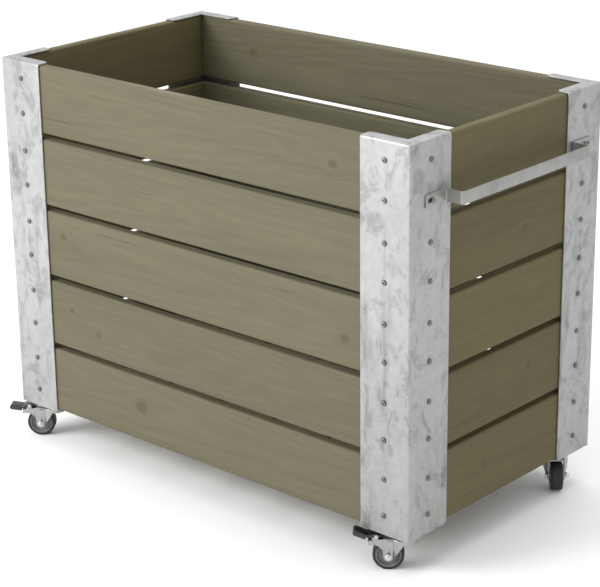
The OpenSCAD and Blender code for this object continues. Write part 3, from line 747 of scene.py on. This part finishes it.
heads = [set_at(head, corner(c)[0], 0, corner(c)[1]) for c in CORNERS]
dress(join(heads, "swivel_heads"), castor_zinc, "castor_zinc", "cart", "castor_heads")
bpy.data.objects.remove(head)
for node in ("castor_bolts", "castor_nuts", "castor_balls"):
    NODES[node].data.materials.clear()
    NODES[node].data.materials.append(bolt_steel)

# ---------------------------------------------------------------- forks
# One zinc plated sheet drawn to a round crown, two flat cheeks and a shelf sloping down to the tail;
# the front pair also has two ears that hold the brake's pin and an opening for its shoe.

BOSS_R = 0.008
LEAD = math.radians(32)
BEND_X, TAIL_X = 0.030, 0.056
SCOOP_X, SCOOP_END = 0.032, 0.049
RING_Z = 0.048
HINGE = JOINTS["brake_release_front_left"]["pos_m"]
HINGE_X = math.dist(HINGE[:2], PIVOT[:2])
HINGE_Z = HINGE[2]


def rod(name, radius, length, place, sides=32, bevel=0.0, axis="X"):
    """A cylinder across the fork, along Y, or upright where axis is Z; its middle is at the place."""
    start("cylinder", vertices=sides, radius=radius, depth=length)
    if bevel:
        pick("FACE", lambda at, way: abs(way.z) > 0.9)
        bpy.ops.mesh.bevel(offset=bevel, segments=3)
    bpy.ops.mesh.select_all(action="SELECT")
    if axis == "X":
        bpy.ops.transform.rotate(value=math.pi / 2, orient_axis="X", center_override=(0, 0, 0))
    bpy.ops.transform.translate(value=place)
    return done(name)


def block(name, low, high, bevel=0.0):
    """A box between two corners, its edges eased by bevel."""
    start("cube", size=1)
    bpy.ops.transform.resize(value=Vector(high) - Vector(low), center_override=(0, 0, 0))
    bpy.ops.transform.translate(value=(Vector(high) + Vector(low)) / 2)
    if bevel:
        bpy.ops.mesh.bevel(offset=bevel, segments=3)
    return done(name)


def make_fork(brake):
    """A fork with its swivel axis on Z, trailing towards +X, folded from one round sheet."""
    meet_x = math.sqrt(CROWN_R**2 - FORK_HALF**2)
    start("circle", vertices=96, radius=CROWN_R, fill_type="NGON")
    bpy.ops.transform.translate(value=(0, 0, CROWN_Z))
    bpy.ops.mesh.select_all(action="SELECT")
    bpy.ops.mesh.bisect(plane_co=(meet_x, 0, 0), plane_no=(1, 0, 0), clear_outer=True)
    reach, drop = meet_x, 0
    for stop in (BEND_X, SCOOP_X, TAIL_X) if brake else (BEND_X,):
        pick("EDGE", lambda at, way: at.x > reach - 1e-5 and abs(way.y) > FORK_HALF)
        fall = max(0, (stop - BEND_X) / (TAIL_X - BEND_X)) * 0.004
        bpy.ops.mesh.extrude_region_move(TRANSFORM_OT_translate={"value": (stop - reach, 0, drop - fall)})
        reach, drop = stop, fall
    outline = lambda at: abs(at.y) > FORK_HALF - 1e-4 or (at.x < meet_x and math.hypot(at.x, at.y) > CROWN_R - 1e-4)
    pick("EDGE", lambda at, way: outline(at) and at.x < reach - 1e-4)
    bpy.ops.mesh.extrude_region_move(TRANSFORM_OT_translate={"value": (0, 0, RING_Z - CROWN_Z)})
    pick("EDGE", lambda at, way: 0.001 < at.x < SCOOP_X and at.z < RING_Z + 1e-4 and abs(way.z) < 0.003)
    bpy.ops.mesh.extrude_region_move(TRANSFORM_OT_translate={"value": (0, 0, -0.0315)})
    for k in range(9):
        turn = math.pi + LEAD + k * (math.pi - LEAD) / 8
        out = Vector((math.cos(turn), 0, math.sin(turn)))
        pick("FACE", lambda at, way: at.z < RING_Z - 0.001)
        bpy.ops.mesh.bisect(plane_co=Vector((TRAIL, 0, AXLE_Z)) + out * BOSS_R, plane_no=out, clear_outer=True)
    pick(
        "EDGE",
        lambda at, way: outline(at) and at.z > CROWN_Z - 0.0045 and abs(way.z) < 0.0045 and at.x < reach - 1e-4,
    )
    bpy.ops.mesh.bevel(offset=0.0016, segments=4)
    bpy.ops.mesh.select_all(action="SELECT")
    bpy.ops.mesh.remove_doubles(threshold=1e-6)
    bpy.ops.mesh.normals_make_consistent(inside=False)
    bpy.ops.object.mode_set(mode="OBJECT")
    sheet = bpy.context.object
    upward = sum(f.normal.z * f.area for f in sheet.data.polygons)
    solid = sheet.modifiers.new("solid", "SOLIDIFY")
    solid.thickness = FORK_T
    solid.offset = -1 if upward > 0 else 1
    solid.use_even_offset = True
    bpy.ops.object.modifier_apply(modifier="solid")
    bpy.ops.object.mode_set(mode="EDIT")
    sheet = done("fork_sheet")
    parts = [sheet]
    if brake:
        cut_by(
            sheet,
            [
                rod("bush_hole", 0.00705, 0.02, (0, 0, CROWN_Z), axis="Z"),
                rod("axle_hole", 0.00305, 0.05, (TRAIL, 0, AXLE_Z)),
                block("shoe_opening", (0.032, -0.0119, 0.047), (0.0498, 0.0119, 0.06)),
            ],
        )
        for side in (-1, 1):
            y = side * (FORK_HALF - FORK_T / 2)
            inner, outer = y - FORK_T / 2 + 5e-5, y + FORK_T / 2 - 5e-5
            gusset = block("gusset", (SCOOP_X - 0.001, inner, 0.029), (SCOOP_END, outer, 0.0474))
            cut_by(gusset, [rod("scoop", 0.017, 0.01, (SCOOP_END, y, 0.028), 64)])
            parts.append(gusset)
            parts.append(rod("ear", 0.0036, FORK_T, (HINGE_X, y, HINGE_Z), bevel=0.0003))
            parts.append(
                block(
                    "ear_root",
                    (HINGE_X - 0.0036, y - FORK_T / 2, CROWN_Z - 0.006),
                    (HINGE_X + 0.0036, y + FORK_T / 2, HINGE_Z),
                )
            )
    join(parts, "fork_sheet")
    bpy.ops.object.mode_set(mode="EDIT")
    return done(
        "fork_sheet",
        ("BEVEL", {"width": 0.00035, "segments": 2, "limit_method": "ANGLE", "angle_limit": math.radians(50)}),
    )


for brake, names in ((True, CORNERS[:2]), (False, CORNERS[2:])):
    fork = make_fork(brake)
    for c in names:
        place, turn = corner(c)
        piece = set_at(fork, place, 0, turn)
        piece.name = piece.data.name = "fork_sheet_" + c
        dress(piece, castor_zinc, "castor_zinc", "fork_" + c, "fork_" + c)
    bpy.data.objects.remove(fork)

# ---------------------------------------------------------------- axles
# A plated bolt through both cheeks and the hub, with a hexagon head and a nut on its end.

axle = join(
    [
        rod("shank", 0.003, 0.036, (TRAIL, 0.004, AXLE_Z), bevel=0.0005),
        rod("bolt_head", 0.0057, 0.0045, (TRAIL, -FORK_HALF - 0.00225, AXLE_Z), 6, 0.0007),
        rod("nut", 0.0057, 0.005, (TRAIL, FORK_HALF + 0.0025, AXLE_Z), 6, 0.0007),
    ],
    "axle_bolt",
)
for c in CORNERS:
    place, turn = corner(c)
    piece = set_at(axle, place, 0, turn)
    piece.name = piece.data.name = "axle_bolt_" + c
    dress(piece, bolt_steel, "bearing_steel", "fork_" + c, "axle_" + c)
bpy.data.objects.remove(axle)

# ---------------------------------------------------------------- wheels
# A moulded grey plastic centre with a recessed web and a hub, and a black rubber tyre shrunk on it.

rim_plastic = plain("rim_plastic", tone(100, 101, 104), 0.42, 0.3)
tyre_rubber = plain("tyre_rubber", tone(22, 22, 23), 0.6, 0.6)
TYRE_HALF, TYRE_T = 0.010, 0.0045
RIM_R = WHEEL_R - TYRE_T


def turned(radius, half, steps):
    """A round piece about Y: both faces are inset and pushed in by steps, then joined by a bore."""
    start("cylinder", vertices=96, radius=radius, depth=2 * half)
    for side in (-1, 1):
        pick("FACE", lambda at, way: way.z * side > 0.9)
        for to, push in steps:
            bpy.ops.mesh.extrude_region_move(TRANSFORM_OT_translate={"value": (0, 0, side * push)})
            bpy.ops.transform.resize(value=(to, to, 1), center_override=(0, 0, 0))
    pick("FACE", lambda at, way: abs(way.z) > 0.9 and math.hypot(at.x, at.y) < 1e-4)
    bpy.ops.mesh.bridge_edge_loops()


def finish_turned(name, sharp):
    """Eases the edges that sharp accepts by radius and distance, and stands the piece on its axle."""
    pick("EDGE", lambda at, way: sharp(math.hypot(at.x, at.y), abs(at.z)) and abs(way.z) < 1e-5)
    bpy.ops.mesh.bevel(offset=0.0005, segments=2)
    bpy.ops.mesh.select_all(action="SELECT")
    bpy.ops.transform.rotate(value=math.pi / 2, orient_axis="X", center_override=(0, 0, 0))
    bpy.ops.transform.translate(value=(TRAIL, 0, AXLE_Z))
    return done(name)


turned(WHEEL_R, TYRE_HALF, [(RIM_R / WHEEL_R, 0)])
pick("EDGE", lambda at, way: math.hypot(at.x, at.y) > WHEEL_R - 1e-4 and abs(way.z) < 1e-5)
bpy.ops.mesh.bevel(offset=0.003, segments=6)
tyre = finish_turned("tyre", lambda r, z: False)
turned(
    RIM_R,
    TYRE_HALF - 0.0008,
    [(18 / 20.5, 0), (16.5 / 18, -0.0052), (8 / 16.5, -0.0002), (6.6 / 8, 0.006), (5.6 / 6.6, 0.0019), (3.05 / 5.6, 0)],
)
rim = finish_turned("rim", lambda r, z: 0.0160 < r < 0.0199 or 0.005 < r < 0.0083)
for c in CORNERS:
    place, turn = corner(c)
    for piece, material, slot, node in (
        (rim, rim_plastic, "grey_plastic", "rim_"),
        (tyre, tyre_rubber, "tyre_rubber", "tyre_"),
    ):
        twin = set_at(piece, place, 0, turn)
        twin.name = twin.data.name = node + "moulding_" + c
        dress(twin, material, slot, "wheel_" + c, node + c)
for piece in (rim, tyre):
    bpy.data.objects.remove(piece)

# ---------------------------------------------------------------- brakes
# A black nylon pedal on a steel pin in the ears of each front fork: lever, shoe and a ribbed foot pad.

pad_plastic = plain("pad_plastic", tone(26, 26, 27), 0.38, 0.4, 0.2)
LEVER_HALF = 0.0117
NECK_X, NECK_Z = 0.015, -0.006
PAD_TILT = math.radians(7)
PAD_L, PAD_T, PAD_W = 0.022, 0.0085, 0.022


def make_lever():
    """The pedal's lever, pressed down, the hinge pin on the origin: stations pulled out of one end face."""
    start("plane", size=1)
    bpy.ops.transform.rotate(value=math.pi / 2, orient_axis="Y", center_override=(0, 0, 0))
    bpy.ops.transform.resize(value=(1, 2 * LEVER_HALF, 0.0026), center_override=(0, 0, 0))
    bpy.ops.transform.translate(value=(-0.008, 0, 0.0029))
    bpy.ops.mesh.select_all(action="SELECT")
    x, mid, tall = -0.008, 0.0029, 0.0026
    for to_x, low, high in (
        (-0.001, -0.0028, 0.003),
        (0.004, -0.0034, 0.0025),
        (0.009, -0.0049, 0.0006),
        (0.0152, -0.0061, -0.0026),
    ):
        bpy.ops.mesh.extrude_region_move(TRANSFORM_OT_translate={"value": (to_x - x, 0, (low + high) / 2 - mid)})
        bpy.ops.transform.resize(value=(1, 1, (high - low) / tall), center_override=(0, 0, (low + high) / 2))
        x, mid, tall = to_x, (low + high) / 2, high - low
    lever = done("lever", ("BEVEL", {"width": 0.0007, "segments": 3, "limit_method": "ANGLE"}))
    reach = Vector((HINGE_X - TRAIL, 0, HINGE_Z - AXLE_Z))
    shoe_l = reach.length - WHEEL_R - 0.00035
    shoe = block("shoe", (-shoe_l, -0.006, -0.0022), (0, 0.006, 0.0022), 0.0006)
    leaned = set_at(shoe, (0, 0, 0), 0, 0, -math.atan2(reach.z, reach.x))
    bpy.data.objects.remove(shoe)
    return join([lever, leaned], "lever")


def make_pad():
    """The foot pad along +X: a block with a round end, ribs across its top."""
    start("cube", size=1)
    bpy.ops.transform.resize(value=(PAD_L, PAD_W, PAD_T), center_override=(0, 0, 0))
    bpy.ops.transform.translate(value=(PAD_L / 2, 0, 0))
    pick("EDGE", lambda at, way: at.x > PAD_L - 1e-5 and abs(way.y) > 0.01)
    bpy.ops.mesh.bevel(offset=PAD_T * 0.49, segments=8)
    pick("FACE", lambda at, way: abs(way.y) > 0.9)
    bpy.ops.mesh.bevel(offset=0.0008, segments=3)
    for k in range(1, 6):
        bpy.ops.mesh.select_all(action="SELECT")
        bpy.ops.mesh.bisect(plane_co=(0.003 * k, 0, 0), plane_no=(1, 0, 0))
        bpy.ops.mesh.select_all(action="SELECT")
        bpy.ops.mesh.bisect(plane_co=(0.003 * k + 0.0012, 0, 0), plane_no=(1, 0, 0))
    pick("FACE", lambda at, way: way.z > 0.99 and at.z > PAD_T / 2 - 1e-5 and 0.002 < at.x < 0.0165 and (at.x * 1000 % 3) < 1.2)
    bpy.ops.mesh.inset(thickness=0.0002, use_individual=True)
    bpy.ops.transform.translate(value=(0, 0, -0.0006))
    pad = done("pad", smooth=40)
    tilted = set_at(pad, (NECK_X, 0, NECK_Z), 0, 0, -PAD_TILT)
    bpy.data.objects.remove(pad)
    return tilted


lever, pad = make_lever(), make_pad()
pin = join(
    [
        rod("pin", 0.0015, 2 * FORK_HALF + 0.001, (0, 0, 0)),
        rod("pin_head", 0.0023, 0.001, (0, FORK_HALF + 0.00055, 0), bevel=0.0004),
        rod("pin_tail", 0.0023, 0.001, (0, -FORK_HALF - 0.00055, 0), bevel=0.0004),
    ],
    "hinge_pin",
)
LIFT = {"front_left": 0.0, "front_right": math.radians(14)}
for c, joint in (("front_left", "brake_release_front_left"), ("front_right", "brake_press_front_right")):
    turn = corner(c)[1]
    for piece, material, name, slot, nodes in (
        (lever, pad_plastic, "pedal_lever_", "black_plastic", ["brake_lever_" + c]),
        (pin, bolt_steel, "pedal_pin_", "bearing_steel", ["brake_lever_" + c]),
        (pad, pad_plastic, "pedal_pad_", "black_plastic", ["brake_pad_" + c]),
    ):
        twin = set_at(piece, JOINTS[joint]["pos_m"], 0, turn, -LIFT[c])
        twin.name = twin.data.name = name + c
        dress(twin, material, slot, "brake_" + c, *nodes)
for piece in (lever, pad, pin):
    bpy.data.objects.remove(piece)

bpy.ops.object.select_all(action="DESELECT")
